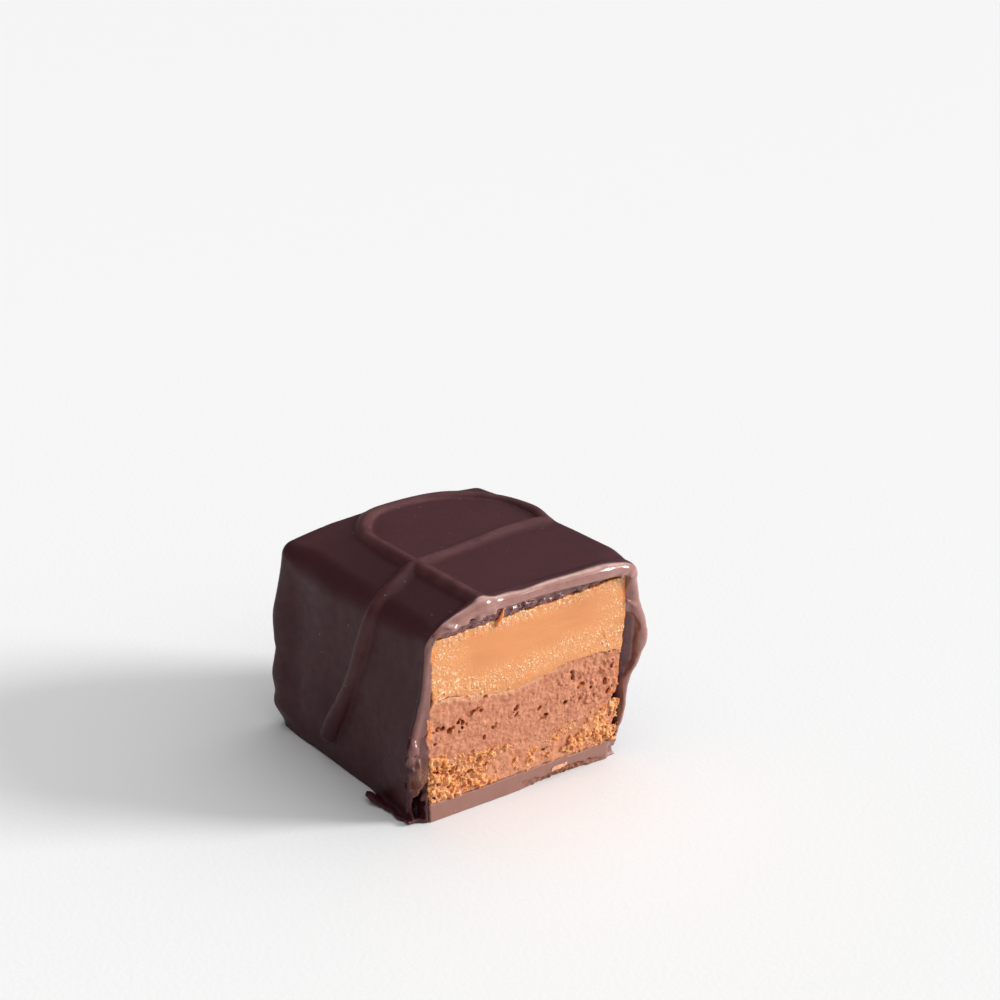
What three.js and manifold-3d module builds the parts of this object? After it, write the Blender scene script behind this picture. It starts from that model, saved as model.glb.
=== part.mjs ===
// A fudge cube: a bite-sized chocolate, cut through so that its layers show.
// A dark coating with a piped string on top wraps a caramel layer, a chocolate fudge layer
// and a biscuit crumb layer, all on a chocolate base.
// Millimetres, +Z up. The cut face looks along -Y, X runs across it and Y runs to the far end.

import * as THREE from 'three';
import { mergeVertices } from 'three/addons/utils/BufferGeometryUtils.js';
import Module from 'manifold-3d';

const { clamp, lerp, smoothstep } = THREE.MathUtils;

// Driving dimensions
const LEFT = -14.2;
const RIGHT = 14.1;
const CUT = -14;
const FAR = 14.1;
const HEIGHT = 24.6;
const EDGE_RADIUS = 1.7;

// The shoulder is the slanted strip between the flat top and the left side.
const SHOULDER_X = -7.6;
const SHOULDER_DROP = 2.9;
const TOP_SAG = 0.6;

// What the knife did to the coating at the cut: how far each part of it moved,
// around which height, and over how much of that height
const FLARE_LENGTH = 10;
const LEFT_FLARE = { out: 1.3, back: 0.9, height: 7.5, spread: 9 };
const RIGHT_BULGE = { out: 1.8, forward: 1.1, height: 14, spread: 6 };
const TOP_LIP = { forward: 0.8, ripple: 0.2, ripplePitch: 7, from: 20, to: 23 };
const BROKEN_CORNER = { back: 1.1, from: 2, to: 5 };

// The foot of coating along the left side, and the flake that hangs on it
const FOOT = { out: 0.8, height: 2, middle: -9, spread: 6 };
const FLAKE_THICKNESS = 0.7;

// The relief of the far end
const END = { corners: 0.3, dent: 0.7, folds: 1, sideways: 0.8 };

// The filling, and the gap that parts each layer from the next
const FILL_LEFT = -13.05;
const FILL_RIGHT = 13;
const FILL_FAR = 12.8;
const GAP = 0.3;
const BASE_TOP = 2.3;
const CARAMEL_TOP = 21.9;
const CARAMEL_TILT = 0.065;
const CARAMEL_FOOT = { height: 13.5, swing: 0.6, crest: 7.5, pitch: 20 };
const CRUMB_TOP = { height: 5.7, rise: 1.6, lowest: 0.5, halfWidth: 13 };
const BASE_CHIP = { depth: 0.8, height: 1, middle: 4.5, spread: 6.5 };

// The piped string
const STRING_RADIUS = 0.9;
const STRING_SINK = 0.45;
const STRING_SIDES = 8;

const BLOCK_SEGMENTS = new THREE.Vector3(22, 18, 18);
const LAYER_STEPS = 14;
const CLEARANCE = 4;
const WELD_DISTANCE = 1e-4;

const wasm = await Module();
wasm.setup();

// A closed geometry as a solid that can be joined and cut
function solidOf(geometry) {
  const bare = geometry.clone();
  bare.deleteAttribute('normal');
  bare.deleteAttribute('uv');
  const welded = mergeVertices(bare, WELD_DISTANCE);
  return new wasm.Manifold(new wasm.Mesh({
    numProp: 3,
    vertProperties: new Float32Array(welded.attributes.position.array),
    triVerts: new Uint32Array(welded.index.array),
  }));
}

// A solid as a geometry again
function geometryOf(solid) {
  const mesh = solid.getMesh();
  const geometry = new THREE.BufferGeometry();
  geometry.setAttribute('position', new THREE.BufferAttribute(mesh.vertProperties, mesh.numProp));
  geometry.setIndex(new THREE.BufferAttribute(mesh.triVerts, 1));
  geometry.computeVertexNormals();
  return geometry;
}

// 1 at the middle, falling smoothly to 0 at one reach on both sides
function bump(value, middle, reach) {
  return smoothstep(1 - Math.abs(value - middle) / reach, 0, 1);
}

// Moves every vertex of a geometry by a function of its place.
function reshape(geometry, move) {
  const places = geometry.attributes.position;
  const point = new THREE.Vector3();
  for (let i = 0; i < places.count; i += 1) {
    point.fromBufferAttribute(places, i);
    move(point);
    places.setXYZ(i, point.x, point.y, point.z);
  }
  return geometry;
}

// Crowds evenly spaced values between -1 and 1 towards both ends, where the edges are round.
function crowd(value) {
  const crowding = 0.6;
  return lerp(value, Math.sin(value * Math.PI / 2), crowding);
}

// Bends the top edges, the far edges and their corners onto an arc.
function roundEdges(point) {
  const inner = new THREE.Vector3(
    clamp(point.x, LEFT + EDGE_RADIUS, RIGHT - EDGE_RADIUS),
    Math.min(point.y, FAR - EDGE_RADIUS),
    Math.min(point.z, HEIGHT - EDGE_RADIUS),
  );
  const out = point.clone().sub(inner);
  const largest = Math.max(Math.abs(out.x), Math.abs(out.y), Math.abs(out.z));
  if (largest > 0) {
    out.multiplyScalar(largest / out.length());
  }
  point.copy(inner).add(out);
}

// How far the top lies below its full height: the shoulder slants down to the left,
// and the top sags a little towards the far left corner.
function topDrop(x, y) {
  const shoulder = SHOULDER_DROP * clamp((SHOULDER_X - x) / (SHOULDER_X - LEFT), 0, 1);
  const corner = TOP_SAG * smoothstep(-x, 2, 9) * smoothstep(y, 3, 12);
  return shoulder + corner;
}

// How far a place lies towards the left or the right wall, from 0 inside to 1 at the wall
const WALL_ZONE = 4;
const leftwards = (x) => smoothstep(LEFT + WALL_ZONE - x, 0, WALL_ZONE);
const rightwards = (x) => smoothstep(x - RIGHT + WALL_ZONE, 0, WALL_ZONE);

// The knife pushed the walls out near the cut: the left one low down, the right one half-way up.
function flareWalls(point) {
  const nearCut = 1 - smoothstep(point.y - CUT, 0, FLARE_LENGTH);
  const leftFlare = LEFT_FLARE.out * bump(point.z, LEFT_FLARE.height, LEFT_FLARE.spread);
  const rightBulge = RIGHT_BULGE.out * bump(point.z, RIGHT_BULGE.height, RIGHT_BULGE.spread);
  point.x += nearCut * (rightwards(point.x) * rightBulge - leftwards(point.x) * leftFlare);
}

// The coating ran down into a low foot along the left side.
function spreadFoot(point) {
  const low = 1 - smoothstep(point.z, 0, FOOT.height);
  point.x -= FOOT.out * low * leftwards(point.x) * bump(point.y, FOOT.middle, FOOT.spread);
}

// The lip of coating round the cut: it stands proud at the top and on the right,
// and it is pressed back on the outside of the left wall and broken low on the right.
function lipPlace(x, z) {
  const onFlatTop = lerp(0.5, 1, smoothstep(x, LEFT, SHOULDER_X));
  const top = onFlatTop * smoothstep(z, TOP_LIP.from, TOP_LIP.to);
  const ripple = TOP_LIP.ripple * Math.sin(2 * Math.PI * x / TOP_LIP.ripplePitch);
  const leftWall = smoothstep(FILL_LEFT - x, 0, LEFT_FLARE.out + FILL_LEFT - LEFT);
  const pressed = LEFT_FLARE.back * leftWall * bump(z, LEFT_FLARE.height, LEFT_FLARE.spread);
  const rightWall = smoothstep(x, FILL_RIGHT, RIGHT);
  const bulge = RIGHT_BULGE.forward * bump(z, RIGHT_BULGE.height, RIGHT_BULGE.spread);
  const broken = BROKEN_CORNER.back * (1 - smoothstep(z, BROKEN_CORNER.from, BROKEN_CORNER.to));
  return CUT - top * (TOP_LIP.forward + ripple) + pressed + rightWall * (broken - bulge);
}

// Stretches the block's length so that its front follows the lip.
function shapeLip(point) {
  const alongLength = (FAR - point.y) / (FAR - CUT);
  point.y = FAR - alongLength * (FAR - lipPlace(point.x, point.z));
}

// The far end sags between soft ridges that run to its corners, with folds low on its left edge.
function sagFarEnd(point) {
  const nearEnd = smoothstep(point.y, FAR - 6, FAR);
  const across = (2 * point.x - LEFT - RIGHT) / (RIGHT - LEFT);
  const upward = 2 * point.z / HEIGHT - 1;
  const toDiagonal = Math.abs(Math.abs(across) - Math.abs(upward));
  const corners = bump(toDiagonal, 0, 0.7) * (1 - bump(Math.hypot(across, upward), 0, 0.7));
  const dent = bump(Math.hypot(across, upward), 0, 0.8);
  const swell = smoothstep(point.z, 0.5, 3) * (1 - smoothstep(point.z, 14, 20));
  const folds = END.folds * (swell + 0.35 * bump(point.z, 13.5, 3.5) + 0.3 * bump(point.z, 6, 2.5));
  const relief = END.corners * corners - END.dent * dent + leftwards(point.x) * folds;
  point.x -= END.sideways * smoothstep(point.y, FAR - 4, FAR) * leftwards(point.x) * folds;
  point.y += nearEnd * relief;
}

// The block of coating, still solid
function blockGeometry() {
  const box = new THREE.BoxGeometry(2, 2, 2, BLOCK_SEGMENTS.x, BLOCK_SEGMENTS.y, BLOCK_SEGMENTS.z);
  return reshape(box, (point) => {
    point.set(
      lerp(LEFT, RIGHT, (crowd(point.x) + 1) / 2),
      lerp(CUT, FAR, (crowd(point.y) + 1) / 2),
      lerp(0, HEIGHT, (crowd(point.z) + 1) / 2),
    );
    roundEdges(point);
    point.z *= 1 - topDrop(point.x, point.y) / HEIGHT;
    flareWalls(point);
    spreadFoot(point);
    shapeLip(point);
    sagFarEnd(point);
  });
}

// A prism between two heights that vary with x, from the cut to the far side of the filling
function layerGeometry(left, right, near, far, bottomAt, topAt) {
  const outline = new THREE.Shape();
  const xAt = (step) => lerp(left, right, step / LAYER_STEPS);
  outline.moveTo(left, bottomAt(left));
  for (let step = 1; step <= LAYER_STEPS; step += 1) {
    outline.lineTo(xAt(step), bottomAt(xAt(step)));
  }
  for (let step = LAYER_STEPS; step >= 0; step -= 1) {
    outline.lineTo(xAt(step), topAt(xAt(step)));
  }
  const prism = new THREE.ExtrudeGeometry(outline, { depth: far - near, bevelEnabled: false });
  prism.rotateX(Math.PI / 2);
  prism.translate(0, far, 0);
  return prism;
}

// Heights of the borders between the layers, across the cut
const caramelTopAt = (x) => CARAMEL_TOP + CARAMEL_TILT * x;
const caramelFootAt = (x) => CARAMEL_FOOT.height
  + CARAMEL_FOOT.swing * Math.cos(2 * Math.PI * (x - CARAMEL_FOOT.crest) / CARAMEL_FOOT.pitch);
const crumbTopAt = (x) => CRUMB_TOP.height
  + CRUMB_TOP.rise * ((x - CRUMB_TOP.lowest) / CRUMB_TOP.halfWidth) ** 2;

// A filling layer keeps half of the gap to each border.
function fillingGeometry(bottomAt, topAt) {
  return layerGeometry(
    FILL_LEFT, FILL_RIGHT, CUT, FILL_FAR,
    (x) => bottomAt(x) + GAP / 2,
    (x) => topAt(x) - GAP / 2,
  );
}

// The base slab, whose lower front edge is chipped back under the cut
function baseGeometry() {
  const size = new THREE.Vector3(FILL_RIGHT - FILL_LEFT, FILL_FAR - CUT, BASE_TOP - GAP / 2);
  const slab = new THREE.BoxGeometry(size.x, size.y, size.z, LAYER_STEPS, 2, 2);
  slab.translate(FILL_LEFT + size.x / 2, CUT + size.y / 2, size.z / 2);
  return reshape(slab, (point) => {
    const frontFoot = point.y < CUT + WELD_DISTANCE ? 1 - smoothstep(point.z, 0, BASE_CHIP.height) : 0;
    point.y += BASE_CHIP.depth * frontFoot * bump(point.x, BASE_CHIP.middle, BASE_CHIP.spread);
  });
}

// Where a point of the string lies on top of the coating, over the flat top or the shoulder
function onTop(x, y) {
  return new THREE.Vector3(x, y, HEIGHT - topDrop(x, y) - STRING_SINK);
}

// Where a point of the string lies on the left side
function onLeftSide(y, z) {
  return new THREE.Vector3(LEFT + STRING_SINK, y, z);
}

function stringGeometry(points, steps) {
  const section = new THREE.Shape();
  section.absarc(0, 0, STRING_RADIUS, 0, 2 * Math.PI);
  return new THREE.ExtrudeGeometry(section, {
    steps,
    curveSegments: STRING_SIDES,
    bevelEnabled: false,
    extrudePath: new THREE.CatmullRomCurve3(points, false, 'centripetal'),
  });
}

// The string crosses the top, turns back in a D-shaped loop and leaves along the shoulder's edge.
function stringGeometries() {
  const crossing = onTop(SHOULDER_X, -3);
  const rightTurn = onTop(12.4, -0.5);
  const upFromSide = [
    onLeftSide(3.7, 3.3), onLeftSide(2.6, 5.6), onLeftSide(0.4, 9.4),
    onLeftSide(-1.2, 13), onLeftSide(-2.4, 17), onTop(-13.6, -3.4), onTop(-10.4, -3.3),
  ];
  const acrossTop = [onTop(-1.6, -2.1), onTop(5.4, -0.8), onTop(9.6, -0.4), rightTurn];
  const loop = [
    crossing, onTop(SHOULDER_X, 2.5), onTop(-6.6, 7.7), onTop(-3.2, 11.3),
    onTop(2, 12.3), onTop(7.6, 11), onTop(11.7, 7.2), onTop(13, 2.6), rightTurn,
  ];
  const tail = [crossing, onTop(SHOULDER_X, -7), onTop(SHOULDER_X, -11), onTop(SHOULDER_X, -14.4)];
  return [
    stringGeometry([...upFromSide, crossing, ...acrossTop], 44),
    stringGeometry(loop, 44),
    stringGeometry(tail, 8),
  ];
}

// A flake of coating that broke off the foot and still hangs on it
function flakeGeometry() {
  const outline = new THREE.Shape();
  outline.moveTo(-13.4, -13);
  outline.quadraticCurveTo(-15, -11, -15.7, -7.4);
  outline.lineTo(-15.5, -5.8);
  outline.lineTo(-14.8, -6.8);
  outline.lineTo(-13.4, -7.2);
  const options = { depth: FLAKE_THICKNESS, bevelEnabled: false, curveSegments: 4 };
  return new THREE.ExtrudeGeometry(outline, options);
}

// The wall broke away low on the left of the cut and left a small hollow.
const HOLLOW_REACH = new THREE.Vector3(1.7, 2.1, 3.4);
const HOLLOW_MIDDLE = new THREE.Vector3(LEFT + 0.1, CUT - 0.4, 4.4);

function hollowGeometry() {
  const hollow = new THREE.SphereGeometry(1, 10, 8);
  hollow.scale(HOLLOW_REACH.x, HOLLOW_REACH.y, HOLLOW_REACH.z);
  hollow.translate(HOLLOW_MIDDLE.x, HOLLOW_MIDDLE.y, HOLLOW_MIDDLE.z);
  return hollow;
}

// The room for the filling, cut through the front and the bottom of the block
function cavityGeometry() {
  return layerGeometry(
    FILL_LEFT - GAP, FILL_RIGHT + GAP, CUT - CLEARANCE, FILL_FAR + GAP,
    () => -CLEARANCE,
    (x) => caramelTopAt(x) + GAP / 2,
  );
}

// The coating: the block with its string and flake, hollowed out
function coatingGeometry() {
  let coating = solidOf(blockGeometry());
  for (const piece of [...stringGeometries(), flakeGeometry()]) {
    coating = coating.add(solidOf(piece));
  }
  coating = coating.subtract(solidOf(cavityGeometry()));
  return geometryOf(coating.subtract(solidOf(hollowGeometry())));
}

// Materials
const darkChocolate = new THREE.MeshStandardMaterial({ color: '#53363a', roughness: 0.35, metalness: 0 });
const caramel = new THREE.MeshStandardMaterial({ color: '#dd9660', roughness: 0.4, metalness: 0 });
const chocolateFudge = new THREE.MeshStandardMaterial({ color: '#b57560', roughness: 0.7, metalness: 0 });
const biscuitCrumb = new THREE.MeshStandardMaterial({ color: '#c78a4c', roughness: 0.8, metalness: 0 });
const baseChocolate = new THREE.MeshStandardMaterial({ color: '#7d5550', roughness: 0.5, metalness: 0 });

function part(name, geometry, material) {
  const mesh = new THREE.Mesh(geometry, material);
  mesh.name = name;
  return mesh;
}

const cube = new THREE.Group();
cube.add(
  part('coating', coatingGeometry(), darkChocolate),
  part('caramel_layer', fillingGeometry(caramelFootAt, caramelTopAt), caramel),
  part('fudge_layer', fillingGeometry(crumbTopAt, caramelFootAt), chocolateFudge),
  part('crumb_layer', fillingGeometry(() => BASE_TOP, crumbTopAt), biscuitCrumb),
  part('chocolate_base', baseGeometry(), baseChocolate),
);

// The origin is the middle of the resting face.
const box = new THREE.Box3().setFromObject(cube);
const middle = box.getCenter(new THREE.Vector3());
cube.position.set(-middle.x, -middle.y, -box.min.z);

const model = new THREE.Group();
model.add(cube);

export default model;
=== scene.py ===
# The looks of a fudge cube: a chocolate cut through so that its layers show.
# Every piece is sculpted as a field of distances on a grid, negative inside the piece, and the
# surface where that field is zero becomes its mesh. Sizes are millimetres in the block's own
# frame: the cut looks along -Y, X runs across it, +Z is up. Meshes are turned into metres last.

import math

import bmesh
import bpy
import numpy as np
from mathutils import Matrix, Vector


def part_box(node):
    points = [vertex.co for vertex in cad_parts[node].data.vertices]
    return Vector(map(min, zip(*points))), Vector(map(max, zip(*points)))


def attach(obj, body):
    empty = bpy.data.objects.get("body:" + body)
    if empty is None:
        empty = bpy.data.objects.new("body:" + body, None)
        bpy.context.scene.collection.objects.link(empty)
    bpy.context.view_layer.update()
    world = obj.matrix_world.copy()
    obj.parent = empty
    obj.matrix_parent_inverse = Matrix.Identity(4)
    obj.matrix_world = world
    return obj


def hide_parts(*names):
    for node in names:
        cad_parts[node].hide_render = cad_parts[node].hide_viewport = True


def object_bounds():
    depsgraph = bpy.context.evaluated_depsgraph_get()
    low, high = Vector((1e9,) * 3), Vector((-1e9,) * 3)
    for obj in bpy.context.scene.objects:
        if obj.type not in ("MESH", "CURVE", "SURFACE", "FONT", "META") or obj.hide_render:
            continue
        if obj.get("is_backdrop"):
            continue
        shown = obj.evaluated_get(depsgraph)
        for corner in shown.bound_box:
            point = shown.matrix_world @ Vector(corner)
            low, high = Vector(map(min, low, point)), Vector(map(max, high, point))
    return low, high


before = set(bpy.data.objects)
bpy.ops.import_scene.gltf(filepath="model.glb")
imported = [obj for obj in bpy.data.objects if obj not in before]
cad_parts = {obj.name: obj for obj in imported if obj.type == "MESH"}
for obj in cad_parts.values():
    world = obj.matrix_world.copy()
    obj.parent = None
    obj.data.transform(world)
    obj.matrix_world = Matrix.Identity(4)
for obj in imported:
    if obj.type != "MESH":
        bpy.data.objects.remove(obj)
cad_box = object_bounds()

MM = 0.001

# Driving dimensions of the coating
LEFT = -14.2
RIGHT = 14.1
CUT = -14.0
FAR = 14.1
HEIGHT = 24.6
EDGE_RADIUS = 1.3
SHOULDER_X = -7.6
SHOULDER_DROP = 2.9
TOP_SAG = 0.6

# What the knife did to the walls near the cut: how far they moved out, and around which height
FLARE_LENGTH = 10.0
LEFT_FLARE = 1.3
LEFT_FLARE_HEIGHT = 6.8
LEFT_FLARE_REACH = 9.5
RIGHT_BULGE = 1.8
RIGHT_BULGE_HEIGHT = 14.6
RIGHT_BULGE_REACH = 6.0

# The low foot of coating along the left side
FOOT_OUT = 0.8
FOOT_HEIGHT = 0.7
FOOT_MIDDLE = -10.0
FOOT_REACH = 6.5

# Driving dimensions of the filling
FILL_LEFT = -13.05
FILL_RIGHT = 13.0
FILL_FAR = 12.8
GAP = 0.3
BASE_TOP = 2.3

# Grids
COATING_CELL = 0.25
EDGE_CELL = 0.15
LIP_CELL = 0.13
LAYER_CELL = 0.08
FAR_AWAY = 9.0

# The block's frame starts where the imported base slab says.
base_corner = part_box("chocolate_base")[0]
ORIGIN = np.array([FILL_LEFT * MM - base_corner[0], CUT * MM - base_corner[1], 0.0])

random = np.random.default_rng(27)


# Shaping functions

def smooth(value):
    """From 0 to 1 as the value goes from 0 to 1, level at both ends."""
    value = np.clip(value, 0.0, 1.0)
    return value * value * (3.0 - 2.0 * value)


def rise(value, width):
    """From 0 where the value is 0 to 1 where it is the width."""
    return smooth(value / width)


def fall(value, width):
    """From 1 where the value is 0 to 0 where it is the width."""
    return 1 - rise(value, width)


def bump(value, middle, reach):
    """1 at the middle, falling smoothly to 0 at one reach on both sides."""
    return smooth(1.0 - np.abs(value - middle) / reach)


def largest(a, b, c):
    """The largest of three fields at each place."""
    return np.maximum(np.maximum(a, b), c)


def join(a, b, blend):
    """Union of two fields with a fillet as wide as blend."""
    mix = np.clip(0.5 + 0.5 * (b - a) / blend, 0.0, 1.0)
    return b + (a - b) * mix - blend * mix * (1.0 - mix)


def common(a, b, blend):
    """What two fields share, with an edge as round as blend."""
    return -join(-a, -b, blend)


def spline_weights(values, pitch):
    """How much each knot of a cubic B-spline counts at each value."""
    place = (values - values[0]) / pitch
    cell = np.floor(place).astype(int)
    t = place - cell
    weights = np.zeros((len(values), cell.max() + 4))
    rows = np.arange(len(values))
    weights[rows, cell] = (1 - t) ** 3 / 6
    weights[rows, cell + 1] = (3 * t**3 - 6 * t**2 + 4) / 6
    weights[rows, cell + 2] = (-3 * t**3 + 3 * t**2 + 3 * t + 1) / 6
    weights[rows, cell + 3] = t**3 / 6
    return weights


def noise(axes, pitch):
    """Smooth random relief on a grid, with lumps of about the given pitch and a spread of 1."""
    pitches = np.broadcast_to(pitch, 3)
    weights = [spline_weights(axis, step) for axis, step in zip(axes, pitches)]
    relief = random.uniform(-1, 1, [w.shape[1] for w in weights])
    for w in weights:
        relief = np.tensordot(relief, w, axes=(0, 1))
    return relief / relief.std()


FLAT = np.array([0.0])


# Grids and what is stamped on them

def window(axes, low, high):
    """The part of a grid between two corners."""
    return tuple(
        slice(max(int(np.searchsorted(axis, a)) - 1, 0), int(np.searchsorted(axis, b)) + 1)
        for axis, a, b in zip(axes, low, high)
    )


def cropped(axes, part):
    """The axes of the part of a grid that is in a window."""
    return [axis[cut] for axis, cut in zip(axes, part)]


def places(axes):
    """X, Y and Z of a grid's places, ready to be combined."""
    return np.meshgrid(*axes, indexing="ij", sparse=True)


def empty_field(axes):
    """A field with nothing in it."""
    return np.full([len(axis) for axis in axes], FAR_AWAY)


def stamp(field, shape, blend):
    """Adds a shape, given as a window and the distances in it, to a field."""
    part, distance = shape
    field[part] = join(field[part], distance, blend)


def carve(field, shape, blend):
    """Takes a shape away from a field."""
    part, distance = shape
    field[part] = common(field[part], -distance, blend)


def rod(axes, start, end, start_radius, end_radius, reach):
    """A window and the distances in it to a straight rod with round ends."""
    a, b = np.array(start, float), np.array(end, float)
    part = window(axes, np.minimum(a, b) - reach, np.maximum(a, b) + reach)
    x, y, z = places(cropped(axes, part))
    span = b - a
    along = ((x - a[0]) * span[0] + (y - a[1]) * span[1] + (z - a[2]) * span[2]) / (span @ span)
    along = np.clip(along, 0.0, 1.0)
    away = [p - start - along * step for p, start, step in zip((x, y, z), a, span)]
    distance = np.sqrt(away[0] ** 2 + away[1] ** 2 + away[2] ** 2)
    return part, distance - start_radius - along * (end_radius - start_radius)


def segments(points, radii):
    """The straight stretches of a line of points: both ends, and the radius at each."""
    return zip(points[:-1], points[1:], radii[:-1], radii[1:])


def chain(axes, points, radii, reach):
    """A field that is a string of rods through the points."""
    field = empty_field(axes)
    for a, b, ra, rb in segments(points, radii):
        part, distance = rod(axes, a, b, ra, rb, reach)
        field[part] = np.minimum(field[part], distance)
    return field


def lump(axes, middle, reach, turn=None, angular=0.0):
    """A window and the distances in it to an ellipsoid, turned by a rotation matrix; an angular
    one is closer to a box."""
    reach = np.array(reach, float)
    size = reach.max() * 1.5 + 0.1
    middle = np.array(middle, float)
    part = window(axes, middle - size, middle + size)
    offsets = [p - m for p, m in zip(places(cropped(axes, part)), middle)]
    rows = np.eye(3) if turn is None else turn
    local = [
        (row[0] * offsets[0] + row[1] * offsets[1] + row[2] * offsets[2]) / r
        for row, r in zip(rows, reach)
    ]
    length = np.sqrt(local[0] ** 2 + local[1] ** 2 + local[2] ** 2)
    if angular:
        longest = largest(np.abs(local[0]), np.abs(local[1]), np.abs(local[2]))
        length = (1 - angular) * length + angular * longest
    return part, (length - 1.0) * reach.min()


def random_turn():
    """A random rotation matrix."""
    turn, _ = np.linalg.qr(random.normal(size=(3, 3)))
    return turn


def smooth_path(points, steps):
    """Points along a curve that passes through the given ones."""
    points = np.array(points, float)
    ends = np.vstack([2 * points[0] - points[1], points, 2 * points[-1] - points[-2]])
    t = np.linspace(0, 1, steps, endpoint=False)[:, None]
    path = []
    for p0, p1, p2, p3 in zip(ends, ends[1:], ends[2:], ends[3:]):
        path.append(0.5 * (
            2 * p1 + (p2 - p0) * t + (2 * p0 - 5 * p1 + 4 * p2 - p3) * t**2
            + (3 * p1 - p0 - 3 * p2 + p3) * t**3
        ))
    return np.vstack([*path, points[-1:]])


# From a field to a mesh

def untangle(field):
    """Fills each square of the grid that has its inside corners on a diagonal, so that the
    surface never touches itself along an edge."""
    nudge = -1e-3
    for _ in range(6):
        tangled = False
        for axis in range(3):
            flat = np.moveaxis(field, axis, 0)
            a, b = flat[:, :-1, :-1], flat[:, 1:, 1:]
            c, d = flat[:, :-1, 1:], flat[:, 1:, :-1]
            crossed = ((a < 0) == (b < 0)) & ((c < 0) == (d < 0)) & ((a < 0) != (c < 0))
            tangled = tangled or crossed.any()
            for corner in (a, b, c, d):
                corner[crossed & (corner >= 0)] = nudge
        if not tangled:
            return


def surface_net(field, axes):
    """Corners and four-sided faces of the surface where the field is zero, with one corner in
    each crossed cell, in the middle of that cell's crossings."""
    untangle(field)
    cells = [n - 1 for n in field.shape]
    rings, crossings, flips = [], [], []
    for axis in range(3):
        u, v = (axis + 1) % 3, (axis + 2) % 3
        low = np.moveaxis(field, axis, 0)[:-1]
        high = np.moveaxis(field, axis, 0)[1:]
        found = np.argwhere((low < 0) != (high < 0))
        start = np.empty_like(found)
        start[:, axis] = found[:, 0]
        others = [other for other in range(3) if other != axis]
        start[:, others] = found[:, 1:]
        a = low[tuple(found.T)]
        b = high[tuple(found.T)]
        place = np.stack([axes[n][start[:, n]] for n in range(3)], axis=1)
        place[:, axis] += a / (a - b) * (axes[axis][start[:, axis] + 1] - place[:, axis])
        ring = []
        for back_u, back_v in ((0, 0), (1, 0), (1, 1), (0, 1)):
            cell = start.copy()
            cell[:, u] -= back_u
            cell[:, v] -= back_v
            ring.append(np.ravel_multi_index(cell.T, cells))
        rings.append(np.stack(ring, axis=1))
        crossings.append(place)
        flips.append(a >= 0)
    rings = np.vstack(rings)
    crossings = np.repeat(np.vstack(crossings), 4, axis=0)
    _, corner = np.unique(rings, return_inverse=True)
    corner = corner.ravel()
    share = np.bincount(corner)
    corners = np.stack([np.bincount(corner, crossings[:, n]) / share for n in range(3)], axis=1)
    faces = corner.reshape(-1, 4)
    flipped = np.concatenate(flips)
    faces[flipped] = faces[flipped][:, ::-1]
    return corners, faces


def largest_island(corners, faces):
    """Leaves out every loose piece but the largest one."""
    label = np.arange(len(corners))
    while True:
        lowest = label.copy()
        np.minimum.at(lowest, faces.ravel(), np.repeat(label[faces].min(axis=1), 4))
        lowest = lowest[lowest]
        if (lowest == label).all():
            break
        label = lowest
    kept = label == np.bincount(label).argmax()
    number = np.cumsum(kept) - 1
    return corners[kept], number[faces[kept[faces[:, 0]]]]


def sample(values, axes, corners):
    """Values of a grid at the grid places nearest to a mesh's corners."""
    index = []
    for n, axis in enumerate(axes):
        middles = (axis[1:] + axis[:-1]) / 2
        index.append(np.searchsorted(middles, corners[:, n]))
    spread = np.broadcast_to(values, [len(axis) for axis in axes])
    return spread[tuple(index)]


def add_object(name, data):
    """An object in the scene."""
    thing = bpy.data.objects.new(name, data)
    bpy.context.collection.objects.link(thing)
    return thing


def write_shades(mesh, shades):
    """Stores one number a corner for each shade, which the materials read."""
    for shade, values in shades.items():
        layer = mesh.attributes.new(shade, "FLOAT", "POINT")
        layer.data.foreach_set("value", np.ascontiguousarray(values, dtype=np.float32))


def add_piece(name, corners, faces, shades=None):
    """A mesh object in metres in the row frame, with one number a corner for each shade."""
    mesh = bpy.data.meshes.new(name)
    mesh.from_pydata((corners * MM - ORIGIN).tolist(), [], faces.tolist())
    write_shades(mesh, shades or {})
    mesh.shade_smooth()
    return add_object(name, mesh)


def finish_piece(piece, look, node, slot):
    """Gives a piece its look and its place in the part."""
    piece.data.materials.clear()
    piece.data.materials.append(look)
    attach(piece, "root")
    if node:
        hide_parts(node)


def one_back_face(piece, depth):
    """Swaps the fine faces of a piece's flat back for a single face."""
    mesh = bmesh.new()
    mesh.from_mesh(piece.data)
    limit = depth * MM - ORIGIN[1]
    back = [face for face in mesh.faces if all(v.co.y > limit for v in face.verts)]
    bmesh.ops.delete(mesh, geom=back, context="FACES")
    rim = [edge for edge in mesh.edges if edge.is_boundary]
    bmesh.ops.holes_fill(mesh, edges=rim, sides=0)
    mesh.to_mesh(piece.data)
    mesh.free()


# The coating

def top_height(x, y):
    """Height of the coating's top: a flat top, a slanted shoulder that is flatter towards the
    far end, and a sagging far left corner."""
    slope = SHOULDER_DROP / (SHOULDER_X - LEFT) * (1 - 0.55 * rise(y, 13))
    bend = 0.5
    past = SHOULDER_X - x
    shoulder = slope * 0.5 * (past + np.sqrt(past * past + bend * bend) - bend)
    corner = TOP_SAG * rise(-x - 2, 7) * rise(y - 3, 9)
    return HEIGHT - shoulder - corner


def leftwards(x, reach=4.0):
    """From 0 at the given reach from the left wall to 1 on it."""
    return rise(LEFT + reach - x, reach)


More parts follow.
